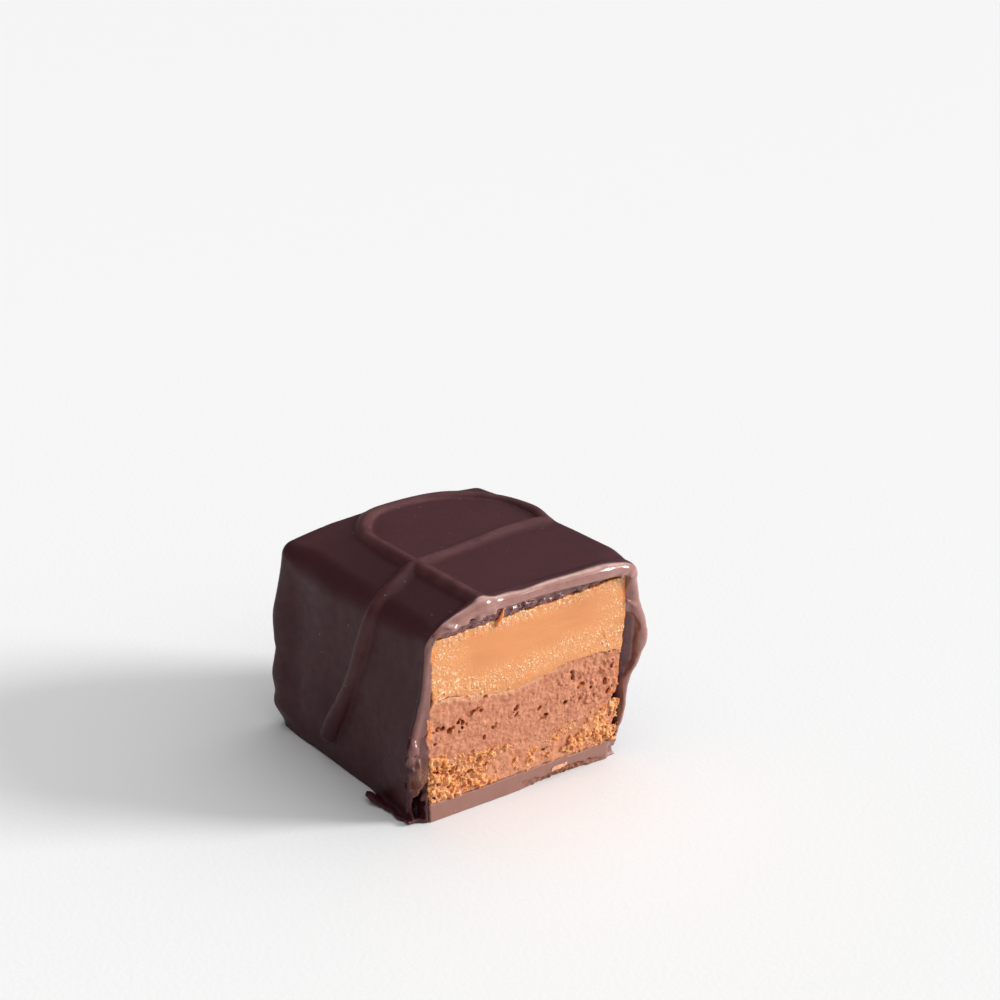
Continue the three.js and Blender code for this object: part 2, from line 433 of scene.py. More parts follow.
def body_field(axes):
    """The block of coating before it is filled: rounded edges, walls that the knife pushed out,
    a low foot along the left side and a sagging far end."""
    x, y, z = places(axes)
    near_cut = fall(y - CUT, FLARE_LENGTH)
    folds = rise(z - 0.2, 2.6) * fall(z - 14, 9.5) + 0.12 * bump(z, 13.8, 3)
    folds = folds - 0.12 * bump(z, 9.9, 1.2) + 0.28 * bump(z, 6.6, 2.6) + 0.14 * bump(z, 3.2, 1.5)
    at_end = rise(y - FAR + 5, 5)
    foot = FOOT_OUT * fall(z, FOOT_HEIGHT) * bump(y, FOOT_MIDDLE, FOOT_REACH)
    flare = near_cut * LEFT_FLARE * bump(z, LEFT_FLARE_HEIGHT, LEFT_FLARE_REACH)
    left = LEFT - flare - foot - 0.8 * at_end * folds
    left = left + 0.1 * noise((FLAT, axes[1], axes[2]), (1, 3.5, 4.5))
    right = RIGHT + near_cut * RIGHT_BULGE * bump(z, RIGHT_BULGE_HEIGHT, RIGHT_BULGE_REACH)
    right = right + 0.06 * noise((FLAT, axes[1], axes[2]), (1, 4, 5))
    across = (2 * x - LEFT - RIGHT) / (RIGHT - LEFT)
    upward = 2 * z / HEIGHT - 1
    from_middle = np.hypot(across, upward)
    diagonal = bump(np.abs(np.abs(across) - np.abs(upward)), 0, 0.7) * (1 - bump(from_middle, 0, 0.7))
    far = FAR + 0.3 * diagonal - 0.7 * bump(from_middle, 0, 0.8) + leftwards(x) * folds
    far = far + 0.07 * noise((axes[0], FLAT, axes[2]), (3, 1, 3))
    top = top_height(x, y) + 0.025 * noise((axes[0], axes[1], FLAT), (4, 4, 1))
    at_corner = rise(x - 9.5, 4) * fall(y - CUT, 3.5)
    top = top - 0.35 * at_corner
    radius = EDGE_RADIUS + 1.3 * leftwards(x, 6) * rise(y - CUT, 4) * (1 - at_end)
    radius = radius + 0.5 * at_corner
    radius = radius + 0.8 * rise(y - 7, 6) * rise(x - 7, 6)
    side = np.maximum(left - x, x - right) + radius
    end = y - far + radius
    over = z - top + radius
    outside = np.sqrt(np.maximum(side, 0) ** 2 + np.maximum(end, 0) ** 2 + np.maximum(over, 0) ** 2)
    inside = np.minimum(largest(side, end, over), 0)
    return outside + inside - radius


def front_place(x, z):
    """Where the coating's cut face lies: pressed back on the left wall, broken low on the right."""
    pressed = rise(FILL_LEFT - x, 2.2) * (0.75 * bump(z, 7.5, 9) + 1.3 * fall(z, 4))
    broken = 1.1 * rise(x - FILL_RIGHT, 1.1) * fall(z - 2, 3)
    broken = broken + 1.6 * rise(x - FILL_RIGHT + 0.4, 0.4) * fall(z - 1.9, 0.7)
    raised = 0.12 * rise(x - FILL_RIGHT - 0.05, 0.3) * rise(z - 17.8, 1.2)
    return CUT + 0.1 + pressed + broken - raised


# The piped string: its centre lies a little below the top's surface, and just off the left wall.
STRING_RADIUS = 0.85
STRING_SINK = 0.3
SIDE_STANDOFF = 0.1


def on_top(x, y):
    """A point of the string on the top."""
    return (x, y, float(top_height(x, y)) - STRING_SINK)


def on_left_side(y, z):
    """A point of the string on the left side."""
    return (LEFT - SIDE_STANDOFF, y, z)


CROSSING = on_top(SHOULDER_X, -3)
RIGHT_TURN = on_top(12.4, -0.5)
UP_FROM_SIDE = [
    on_left_side(3.4, 3.6), on_left_side(2.2, 5.8), on_left_side(0.2, 9.4),
    on_left_side(-1.5, 13), on_left_side(-3.0, 17), (LEFT + 0.6, -3.9, 20.6), on_top(-11.6, -3.9),
    on_top(-9.6, -3.4),
]
ACROSS_TOP = [on_top(-1.6, -2.1), on_top(5.4, -0.8), on_top(9.6, -0.4), RIGHT_TURN]
LOOP = [
    CROSSING, on_top(SHOULDER_X, 2.5), on_top(-6.8, 7.9), on_top(-3.5, 11.8), on_top(2, 12.9),
    on_top(7.9, 12), on_top(12, 8.2), on_top(13.2, 3.2), RIGHT_TURN,
]
TAIL = [CROSSING, on_top(SHOULDER_X, -7), on_top(SHOULDER_X, -11), on_top(SHOULDER_X, -14.2)]
PATH_STEPS = 6
SIDE_END_RADIUS = 1.15

# The piped string as three lengths: up the side and across, round the loop, and the tail
LENGTHS = [
    ([*UP_FROM_SIDE, CROSSING, *ACROSS_TOP], SIDE_END_RADIUS),
    (LOOP, STRING_RADIUS),
    (TAIL, STRING_RADIUS),
]


def string_field(axes):
    """The piped string, thicker where it starts low on the left side."""
    field = empty_field(axes)
    for points, start_radius in LENGTHS:
        path = smooth_path(points, PATH_STEPS)
        along = np.linspace(0, 1, len(path))
        radii = STRING_RADIUS + (start_radius - STRING_RADIUS) * fall(along, 0.3)
        radii = radii + 0.04 * np.sin(along * 23)
        field = np.minimum(field, chain(axes, path, radii, 2.6))
    return field


def crest(x, y, z):
    """1 on the string and 0 a little beside it."""
    nearest = np.full(len(x), FAR_AWAY)
    for points, _ in LENGTHS:
        for px, py, pz in smooth_path(points, 2 * PATH_STEPS):
            nearest = np.minimum(nearest, np.sqrt((x - px) ** 2 + (y - py) ** 2 + (z - pz) ** 2))
    return rise(STRING_RADIUS + 0.3 - nearest, 0.3)


def loop_side(axes):
    """Distance to the loop's outline, seen from above: negative inside the loop."""
    out = smooth_path(LOOP, PATH_STEPS)[:-1]
    back = smooth_path([CROSSING, *ACROSS_TOP], PATH_STEPS)[::-1]
    outline = np.vstack([out, back])
    x, y = np.meshgrid(axes[0], axes[1], indexing="ij")
    nearest = np.full(x.shape, FAR_AWAY * 9)
    inside = np.zeros(x.shape, bool)
    for a, b in zip(outline, np.roll(outline, -1, axis=0)):
        step = (b - a)[:2]
        if step @ step < 1e-9:
            continue
        along = np.clip(((x - a[0]) * step[0] + (y - a[1]) * step[1]) / (step @ step), 0, 1)
        nearest = np.minimum(nearest, np.hypot(x - a[0] - along * step[0], y - a[1] - along * step[1]))
        spans = (a[1] > y) != (b[1] > y)
        if abs(step[1]) > 1e-9:
            inside ^= spans & (x < a[0] + (y - a[1]) * step[0] / step[1])
    return np.where(inside, -nearest, nearest)[:, :, None]


# The lip of coating round the cut: x, y, z and radius of each point, from low on the left wall,
# over the top, to low on the right wall
LIP = [
    (-15.2, -13.4, 9.6, 0.62), (-14.8, -13.3, 10.8, 0.45), (-14.5, -13.3, 12.4, 0.34),
    (-14.1, -13.5, 14.5, 0.3), (-13.85, -13.7, 18.0, 0.22), (-13.6, -13.8, 20.4, 0.3),
    (-13.1, -13.95, 21.8, 0.42), (-12.2, -14.1, 22.5, 0.6), (-10.8, -14.2, 23.05, 0.76),
    (-9.2, -14.25, 23.6, 0.85), (-7.5, -14.3, 24.05, 0.98), (-5.6, -14.2, 23.85, 0.78),
    (-3, -14.2, 23.8, 0.82), (0, -14.2, 23.9, 0.85), (3, -14.3, 24.05, 0.9), (6, -14.3, 24.1, 0.9),
    (9.2, -14.3, 24.0, 0.9), (11.6, -14.25, 23.7, 0.86), (12.6, -14.2, 23.45, 0.88),
    (13.3, -14.1, 22.75, 0.9), (13.85, -13.85, 21.4, 0.8), (14.35, -13.8, 19.4, 0.78),
    (14.75, -13.9, 18.2, 0.76), (15.3, -14.1, 16.4, 0.75), (15.55, -14.25, 15.0, 0.75),
    (15.25, -14.3, 13.4, 0.7), (14.75, -14.25, 12.0, 0.6), (14.25, -14.1, 10.7, 0.5),
    (13.9, -13.9, 9, 0.42), (13.75, -13.8, 6, 0.4), (13.5, -13.3, 3.4, 0.35),
    (13.3, -13.0, 1.2, 0.35),
]
# Ridges that run off the lip: a fold on the right wall and the torn wall under the left knob
RIDGES = [
    [(13.1, -14.2, 19.4, 0.2), (13.8, -14.45, 19.0, 0.24), (14.5, -14.5, 18.4, 0.2)],
    [(-15.25, -13.3, 9.0, 0.4), (-15.3, -13.3, 7.4, 0.25), (-15.2, -13.1, 4.8, 0.16),
     (-15.0, -12.75, 3.1, 0.15), (-14.9, -12.4, 1.2, 0.15)],
]


# Thick drops on the lip: middle and half sizes
KNOBS = [
    ((-15.3, -13.75, 9.3), (0.75, 0.7, 1.05)), ((-15.45, -13.5, 8.0), (0.6, 0.55, 0.7)),
    ((-11.4, -14.75, 22.6), (0.75, 0.5, 0.42)), ((-9.7, -14.65, 22.75), (0.45, 0.32, 0.25)),
    ((-8.0, -14.85, 22.95), (0.45, 0.36, 0.32)), ((-6.3, -14.85, 23.3), (0.55, 0.38, 0.36)),
    ((-7.2, -14.6, 23.7), (0.9, 0.5, 0.8)), ((12.0, -14.8, 23.45), (0.8, 0.35, 0.5)),
    ((11.4, -15.05, 23.0), (0.32, 0.26, 0.26)), ((12.8, -14.95, 23.05), (0.34, 0.26, 0.34)),
]
CREVICE = ((11.9, -15.35, 23.2), (12.6, -15.3, 23.45))
KNOB_HOLE = ((-15.3, -14.4, 8.7), (0.24, 0.5, 0.28))


def lip_field(axes):
    """The lip with its thick drops and ridges."""
    points = smooth_path(LIP, 8)
    steps = np.arange(len(points), dtype=float)
    rumple = noise((steps, FLAT, FLAT), 5)[:, 0, 0]
    sway = noise((steps, FLAT, FLAT), 7)[:, 0, 0]
    points[:, 1] += 0.04 * sway
    field = chain(axes, points[:, :3], points[:, 3] * (1 + 0.045 * rumple), 1.8)
    for middle, reach in KNOBS:
        stamp(field, lump(axes, middle, reach), 0.25)
    for ridge in RIDGES:
        points = smooth_path(ridge, 8)
        field = join(field, chain(axes, points[:, :3], points[:, 3], 1.2), 0.2)
    return field + 0.03 * noise(axes, (1.6, 0.6, 0.6))


BEADS = 200


def beads_field(axes):
    """Small drops that hang in the recess between the lip and the caramel, more on the left."""
    field = empty_field(axes)
    for _ in range(BEADS):
        x = random.choice([random.uniform(-12.8, 12.2), random.uniform(-12.8, -4)])
        middle = (x, CUT - 0.02, caramel_top(x) + random.uniform(0.1, 1.1))
        reach = random.uniform(0.14, 0.27) * np.array([1.3, 0.9, 0.8])
        part, distance = lump(axes, middle, reach)
        field[part] = np.minimum(field[part], distance)
    return field


# How far the sculpted part of the room goes back, and the hollow inside its right wall
CAVITY_DEPTH = 3.2
RIGHT_HOLLOW = 1.75
RIGHT_HOLLOW_FROM = 8.5
RIGHT_HOLLOW_TO = 18.9


def caramel_top(x):
    """Height of the caramel's top, which rises to the right."""
    return 21.75 + 0.045 * x + 0.25 * bump(x, 12, 7)


def corner_drop(x):
    """How much lower the filling's top left corner runs behind the cut."""
    return 0.9 * rise(FILL_LEFT + 1.3 - x, 1.5)


def cavity_field(axes):
    """The room for the filling near the cut, with the hollow that opened inside the right wall."""
    x, y, z = places(axes)
    hollow = rise(RIGHT_HOLLOW_TO - z, 2.4) * rise(z - RIGHT_HOLLOW_FROM, 4.5)
    hollow = RIGHT_HOLLOW * hollow + 0.5 * bump(z, 6.5, 5)
    hollow = hollow + 0.12 * noise(axes, (1, 0.5, 0.5)) * smooth(hollow)
    hollow = hollow * fall(y - CUT - 0.1, 1.0)
    left = FILL_LEFT - 0.1
    right = FILL_RIGHT + 0.1 + hollow
    side = np.maximum(left - x, x - right)
    over = z - caramel_top(x) - 0.1 + corner_drop(x) * rise(y - CUT - 0.8, 1.2)
    return common(common(side, over, 0.6), y - CUT - CAVITY_DEPTH, 0.1)


# The lump that was torn out of the left wall's foot: its middle and half sizes, how high it goes
# at the outside and how steeply its top rises from there
TORN_MIDDLE = (LEFT - 0.1, CUT - 0.4, 2.9)
TORN_REACH = (1.8, 2.4, 3.6)
TORN_TOP = 4.0
TORN_RISE = 1.3


def broken_hollow(axes, body):
    """The rough hollow where the left wall broke away near its foot, with thin walls left on
    both sides of it."""
    part, distance = lump(axes, TORN_MIDDLE, TORN_REACH)
    grid = cropped(axes, part)
    x, _, z = places(grid)
    hollow = distance + 0.3 * noise(grid, (0.6, 0.6, 0.8)) + 0.14 * noise(grid, 0.35)
    hollow = np.maximum(hollow, body[part] + 0.25 + 0.12 * noise(grid, 0.6))
    hollow = np.maximum(hollow, x - FILL_LEFT + 0.3 + 0.16 * noise(grid, 0.5))
    hollow = np.maximum(hollow, z - TORN_TOP - TORN_RISE * (x - LEFT))
    hollow = np.maximum(hollow, 0.5 - z)
    field = empty_field(axes)
    field[part] = hollow
    return field


# The flange's two ends along the left side
FLANGE_FROM = CUT + 0.7
FLANGE_TO = -5.7


def flange_field(axes):
    """The thin ragged sheet of coating that spread from under the left wall and lifted off."""
    part = window(axes, (LEFT - 2.2, FLANGE_FROM - 0.4, -0.5), (LEFT + 0.6, FLANGE_TO + 1, 2.2))
    grid = cropped(axes, part)
    x, y, z = places(grid)
    along = (FLAT, grid[1], FLAT)
    tip = bump(y, FLANGE_TO - 0.9, 1.9)
    outer = LEFT - 1.15 - 0.6 * tip + 0.2 * noise(along, 0.8) + 0.12 * noise(along, 0.35)
    lift = rise(LEFT - 0.3 - x, 1.2)
    middle = 0.2 + lift * (0.22 + 0.6 * tip) + 0.06 * noise((grid[0], grid[1], FLAT), (0.6, 0.6, 1))
    ends = np.maximum(FLANGE_FROM - y, y - FLANGE_TO - 0.25 * noise((grid[0], FLAT, grid[2]), 0.5))
    sheet = largest(outer - x, ends, np.abs(z - middle) - 0.16)
    field = empty_field(axes)
    field[part] = sheet
    return field


def graded(*stretches):
    """Grid places over several stretches, each a start and a step; the last start ends the grid."""
    starts = [start for start, _ in stretches]
    runs = [np.arange(a, b - step / 3, step) for a, b, (_, step) in zip(starts, starts[1:], stretches)]
    return np.concatenate(runs)


def coating_axes():
    """A grid that is fine where the cut shows: along the edges of the cut face."""
    x = graded((LEFT - 2.3, EDGE_CELL), (FILL_LEFT + 0.6, COATING_CELL), (FILL_RIGHT - 0.6, EDGE_CELL),
               (RIGHT + 2.6, 1))
    y = graded((CUT - 2.0, LIP_CELL), (CUT + 1.6, 0.2), (CUT + 4.2, COATING_CELL), (FAR + 1.9, 1))
    z = graded((-1.5 * EDGE_CELL, EDGE_CELL), (9.8, COATING_CELL), (21.2, EDGE_CELL), (HEIGHT + 1.2, 1))
    return [x, y, z]


def coating_piece():
    """The coating: a cut block with its string, lip, flange and hollows, emptied for the filling."""
    axes = coating_axes()
    x, y, z = places(axes)
    body = body_field(axes)
    torn = rise(LEFT + 0.2 - x, 0.6) * fall(z - 7, 2)
    edge = front_place(x, z) + 0.3 * torn * noise((FLAT, FLAT, axes[2]), 0.7)
    edge = edge + (0.03 + 0.2 * torn) * noise((axes[0], FLAT, axes[2]), 0.7)
    field = common(body, edge - y, 0.3)
    outside = rise(loop_side(axes) + STRING_RADIUS, 2 * STRING_RADIUS)
    fillet = 0.12 + outside * (0.55 - 0.3 * leftwards(x, 1.5))
    string = np.maximum(string_field(axes), front_place(x, z) - 0.6 - y)
    field = join(field, string, fillet)
    field = common(field, -broken_hollow(axes, body), 0.1)
    field = join(field, lip_field(axes), 0.35)
    field = join(field, flange_field(axes), 0.15)
    carve(field, lump(axes, *KNOB_HOLE), 0.1)
    carve(field, rod(axes, *CREVICE, 0.16, 0.2, 1.0), 0.1)
    field = join(field, beads_field(axes), 0.12)
    field = common(field, -cavity_field(axes), 0.12)
    field = np.maximum(field, -z)
    corners, faces = largest_island(*surface_net(field, axes))
    piece = add_piece("coating_shell", corners, faces)
    hollow_out(piece)
    mark_cut(piece)
    return piece


def mark_cut(piece):
    """Gives the coating's corners their shades: how freshly cut they are, how far inside the recess and the
    hollow, where the material paints shade, and whether they are on the string or the lip's rim, where it
    paints highlights, or on the torn foot."""
    mesh = piece.data
    count = len(mesh.vertices)
    corners, normals = np.empty(count * 3), np.empty(count * 3)
    mesh.vertices.foreach_get("co", corners)
    mesh.vertex_normals.foreach_get("vector", normals)
    x, y, z = ((corners.reshape(-1, 3) + ORIGIN) / MM).T
    across, along, upward = normals.reshape(-1, 3).T
    facing = rise(-0.2 - along, 0.35)
    flank = rise(-0.2 - across, 0.35) * rise(x - FILL_RIGHT + 1, 0.5)
    facing = np.maximum(facing, flank * rise(CUT + 0.5 - y, 0.3))
    torn = fall(x - LEFT - 1.1, 0.4) * fall(z - 7.2, 1.5)
    strip = rise(FILL_LEFT + 0.3 - x, 0.3) * fall(z - 20.5, 1.2)
    cut = facing * rise(CUT + 1.2 - y, 0.8) * (1 - 0.8 * torn) * (1 - 0.45 * strip)
    crumbly = rise(FILL_LEFT + 0.4 - x, 0.3) * bump(z, 5.4, 3.2) * rise(CUT + 2.2 - y, 0.8)
    crumbly = crumbly * rise(0.2 - along, 0.5) * rise(x - LEFT + 0.9, 0.4)
    # Painted shade: the recess under the lip and the hollow in the right wall, which the material paints
    # darker.
    near = fall(y - CUT - 1, 0.5)
    at_right = rise(x - FILL_RIGHT + 0.3, 0.4)
    inner = near * at_right * rise(y - CUT - 0.15, 0.3)
    in_hollow = at_right * rise(14.7 - x, 0.4) * bump(z, 14, 5.5)
    inner = np.maximum(inner, in_hollow * rise(y - CUT + 0.35, 0.3))
    above_caramel = rise(caramel_top(x) + 1.3 - z, 0.5) * rise(z - caramel_top(x) + 0.5, 0.3)
    above_caramel = above_caramel * rise(y - CUT + 0.75, 0.4)
    above_caramel = above_caramel * (x > FILL_LEFT - 0.4) * (x < FILL_RIGHT)
    recess = np.maximum(near * above_caramel, inner)
    # Painted highlight: the string's crest, away from the cut, gets a lighter colour in the material.
    ridge = crest(x, y, z) * (1 - cut)
    # Painted highlight: the lip's upward-facing rim, where the material paints a pale highlight line.
    rim = rise(upward - 0.62, 0.2) * rise(CUT - 0.1 - y, 0.25) * (x > FILL_LEFT - 1)
    shades = {"cut": cut, "recess": recess, "ridge": ridge, "rim": rim, "crumbly": crumbly}
    write_shades(mesh, shades)


def hollow_out(piece):
    """Cuts the long room for the filling, from the sculpted part near the cut to the far end."""
    steps = 40
    bottom = -2.0
    near, far = CUT + CAVITY_DEPTH - 0.3, FILL_FAR + GAP
    xs = np.linspace(FILL_LEFT - GAP, FILL_RIGHT + GAP, steps + 1)
    tops = caramel_top(xs) + GAP / 2 - corner_drop(xs)
    outline = [(x, bottom) for x in xs] + list(zip(xs, tops))[::-1]
    count = len(outline)
    corners = np.array([(x, y, z) for y in (near, far) for x, z in outline])
    faces = [list(range(count)), list(range(2 * count - 1, count - 1, -1))]
    faces += [[(i + 1) % count, i, i + count, (i + 1) % count + count] for i in range(count)]
    mesh = bpy.data.meshes.new("room")
    mesh.from_pydata((corners * MM - ORIGIN).tolist(), [], faces)
    cutter = add_object("room", mesh)
    cut = piece.modifiers.new("room", "BOOLEAN")
    cut.operation = "DIFFERENCE"
    cut.solver = "MANIFOLD"
    cut.object = cutter
    apply_modifiers(piece)
    bpy.data.objects.remove(cutter)


def apply_modifiers(piece):
    """Turns what a piece's modifiers make into its mesh."""
    evaluated = piece.evaluated_get(bpy.context.evaluated_depsgraph_get())
    mesh = bpy.data.meshes.new_from_object(evaluated)
    piece.modifiers.clear()
    piece.data = mesh


# The filling

def caramel_foot(x):
    """Height of the wavy boundary between fudge and caramel."""
    return 13.5 + 0.6 * np.cos(2 * math.pi * (x - 7.5) / 20)


def crumb_top(x):
    """Height of the crumbs, which lie thicker towards both sides."""
    return 5.7 + 1.6 * ((x - 0.5) / 13) ** 2


def layer_axes(low, high):
    """A fine grid near the cut, with a few long steps to the far side of the filling."""
    x = np.arange(FILL_LEFT - 1.3, FILL_RIGHT + 1.2, LAYER_CELL)
    fine = np.arange(CUT - 0.9, CUT + 1.3, LAYER_CELL)
    y = np.concatenate([fine, [CUT + 1.6, FILL_FAR - 0.15, FILL_FAR + 0.15]])
    z = np.arange(low - 4 * LAYER_CELL, high + 5 * LAYER_CELL, LAYER_CELL)
    return [x, y, z]


def border(axes, pitch, depth):
    """A wandering line across the cut."""
    return depth * noise((axes[0], FLAT, FLAT), pitch)


# The filling's ragged left and right borders on the cut: z and x, from the base up
LEFT_BORDER = [
    (0, -13.04), (2.4, -13.0), (4.8, -13.25), (7.4, -13.25), (9.3, -13.7), (12.9, -13.5),
    (14.1, -12.95), (15, -13.15), (18.2, -13.3), (19.6, -13.7), (20.6, -13.65), (21.4, -13.3),
    (24, -13.2),
]
RIGHT_BORDER = [
    (0, 13.35), (2.1, 13.25), (2.35, 12.2), (3.4, 12.2), (5.3, 12.5), (6.9, 12.2), (7.6, 12.1),
    (8.5, 12.5), (9.7, 12.9), (12.8, 13.0), (15, 13.2), (17.3, 13.3), (20.7, 13.2), (24, 13.1),
]


def side_borders(axes, roughness):
    """Left and right sides of a layer: ragged at the cut, straight behind it."""
    _, y, z = places(axes)
    behind = rise(y - CUT - 0.3, 0.9)
    sides = []
    for border_line, straight in ((LEFT_BORDER, FILL_LEFT), (RIGHT_BORDER, FILL_RIGHT)):
        heights, borders = np.array(border_line).T
        ragged = roughness * noise((FLAT, axes[1], axes[2]), (1, 0.5, 0.4))
        ragged = np.interp(z, heights, borders) + ragged
        sides.append(ragged * (1 - behind) + straight * behind)
    return sides


def slab_field(axes, below, above, front, roughness):
    """A layer between two heights, with its face on the cut at the given front."""
    x, y, z = places(axes)
    left, right = side_borders(axes, roughness)
    side = np.maximum(left - x, x - right)
    level = np.maximum(below - z, z - above)
    field = common(np.maximum(side, level), front - y, 0.12)
    return np.maximum(field, y - FILL_FAR)


def layer_piece(name, field, axes, shades):
    """The mesh of a layer, with a shade that says how far behind the cut each corner lies, which the
    materials use to paint shade and an orange glow in pits and on the sides.
    """
    corners, faces = largest_island(*surface_net(field, axes))
    values = {shade: sample(grid, axes, corners) for shade, grid in shades.items()}
    # Painted shade: corners further behind the cut, in pits and on the layer's sides, get a darker, more
    # orange colour in the materials.
    values["deep"] = rise(corners[:, 1] - CUT - 0.12, 0.45)
    piece = add_piece(name, corners, faces, values)
    one_back_face(piece, FILL_FAR - 0.14)
    return piece


def scatter(axes, count, low, high, sizes, flatness=0.7, angular=0.0):
    """Random lumps with centres between two corners: windows and distances."""
    for _ in range(count):
        middle = random.uniform(low, high)
        size = random.uniform(*sizes)
        reach = size * np.array([1.0, random.uniform(flatness, 1), random.uniform(flatness, 1)])
        yield lump(axes, middle, reach, random_turn(), angular)


def spots(axes, marks):
    """From 1 in the middle of each spot to 0 at its edge: x, z, half width and half height."""
    x, _, z = places(axes)
    shade = 0.0
    for spot_x, spot_z, wide, tall in marks:
        away = np.hypot((x - spot_x) / wide, (z - spot_z) / tall)
        shade = np.maximum(shade, smooth(1.3 * (1 - away)))
    return shade


# Orange to red specks along the caramel's edges
AMBER = [
    (-4.7, 22.1, 0.6, 1.5), (-8.2, 20.5, 0.45, 0.35), (-7.2, 20.2, 0.7, 0.35), (2.6, 22.0, 0.6, 0.5),
    (3.7, 21.4, 0.4, 0.5), (8.5, 22.0, 0.5, 0.4), (13.2, 17.3, 0.35, 0.8), (12.9, 20.3, 0.4, 1.4),
    (-13.1, 19.4, 0.5, 0.9), (-12.9, 14.4, 0.35, 0.5), (-0.5, 13.9, 0.5, 0.3),
]
# A sliver of caramel that was dragged up over the recess
SLIVER = [(-4.35, -14.3, 22.9, 0.09), (-4.6, -14.3, 22.1, 0.24), (-5.0, -14.1, 21.1, 0.26)]


CARAMEL_GRAINS = 90


def caramel_piece():
    """Caramel: smooth streaks between a grainy band at the foot and a dragged one at the top."""
    axes = layer_axes(12.7, 23.0)
    x, y, z = places(axes)
    below = caramel_foot(x) - 0.1 + border(axes, 1.6, 0.12) + border(axes, 0.35, 0.05)
    drop = corner_drop(x) * rise(y - CUT - 0.5, 1.0)
    above = caramel_top(x) + border(axes, 0.35, 0.07) - drop
    grainy = bump(z, below + 1.2 + 0.9 * rise(x + 9, 8), 2.3)
    dragged = bump(z, caramel_top(x) - 0.3, 1.4)
    plane = (axes[0], FLAT, axes[2])
    streaks = 0.03 * noise(plane, (5, 1, 0.6)) + 0.05 * noise(plane, (3, 1, 2))
    grains = 0.02 * grainy * noise(plane, (0.3, 1, 0.22))
    strokes = 0.035 * dragged * noise(plane, (0.22, 1, 0.3))
    field = slab_field(axes, below, above, CUT + 0.02 + streaks - grains - strokes, 0.06)
    low, high = (FILL_LEFT, CUT + 0.06, 13.0), (FILL_RIGHT, CUT + 0.12, 16.0)
    for grain in scatter(axes, CARAMEL_GRAINS, low, high, (0.1, 0.18)):
        stamp(field, grain, 0.1)
    points = np.array(SLIVER)
    field = join(field, chain(axes, points[:, :3], points[:, 3], 0.6), 0.08)
    sides = 0.8 * rise(np.abs(x) - 7.5, 4)
    shades = {"band": largest(grainy, dragged, sides), "amber": spots(axes, AMBER)}
    return layer_piece("caramel_slab", field, axes, shades)


# Pits in the fudge: x, z, half width, half height and slant in degrees
PITS = [
    (-5.85, 13.0, 0.42, 0.14, 20), (-2.2, 13.45, 0.35, 0.13, 25), (-8.9, 12.35, 0.45, 0.13, 25),
    (-7.75, 11.55, 0.75, 0.26, 18), (-6.55, 11.45, 0.25, 0.2, 60), (-8.8, 10.9, 0.3, 0.14, 45),
    (-12.2, 10.75, 0.32, 0.18, 20), (-11.55, 10.75, 0.35, 0.2, 35), (-10.6, 10.2, 0.3, 0.24, 60),
    (-10.1, 10.5, 0.4, 0.14, 45), (-9.4, 10.9, 0.25, 0.14, 45), (-9.0, 9.9, 0.35, 0.13, 35),
    (-4.55, 9.0, 0.42, 0.2, 25), (-1.7, 10.3, 0.35, 0.14, 40), (-1.8, 9.5, 0.3, 0.13, 40),
    (-6.0, 8.2, 0.28, 0.14, 30), (-12.4, 9.2, 0.25, 0.15, 10), (-10.3, 8.6, 0.2, 0.13, 0),
    (1.5, 9.6, 0.25, 0.15, 40), (2.3, 8.2, 0.3, 0.12, 30), (5.2, 9.1, 0.3, 0.13, 50),
    (7.3, 10.55, 0.42, 0.18, 25), (8.6, 9.9, 0.28, 0.14, 40), (9.8, 11.2, 0.35, 0.15, 60),
    (10.9, 10.1, 0.32, 0.16, 50), (11.5, 9.0, 0.35, 0.16, 40), (9.2, 8.6, 0.3, 0.13, 20),
    (6.0, 12.1, 0.14, 0.35, 0), (11.7, 11.6, 0.3, 0.15, 60),
]


def slanted(degrees):
    """A rotation matrix that slants a shape within the cut."""
    return np.array(Matrix.Rotation(math.radians(degrees), 3, "Y"))


def pit(axes, place):
    """A window and the distances in it to a slanting pit."""
    x, z, wide, tall, slant = place
    return lump(axes, (x, CUT + 0.05, z), (1.2 * wide, 0.55, 1.15 * tall), slanted(slant))


FUDGE_LUMPS = 170
FUDGE_HOLES = 240
# Orange places in the fudge: x, z, half width and half height
FUDGE_AMBER = [
    (12.6, 10.6, 0.7, 2.4), (11.7, 8.7, 0.9, 0.6), (-13.3, 11.0, 0.4, 2.0), (10.6, 6.9, 1.2, 0.5),
    (7.4, 10.5, 0.7, 0.5),
]


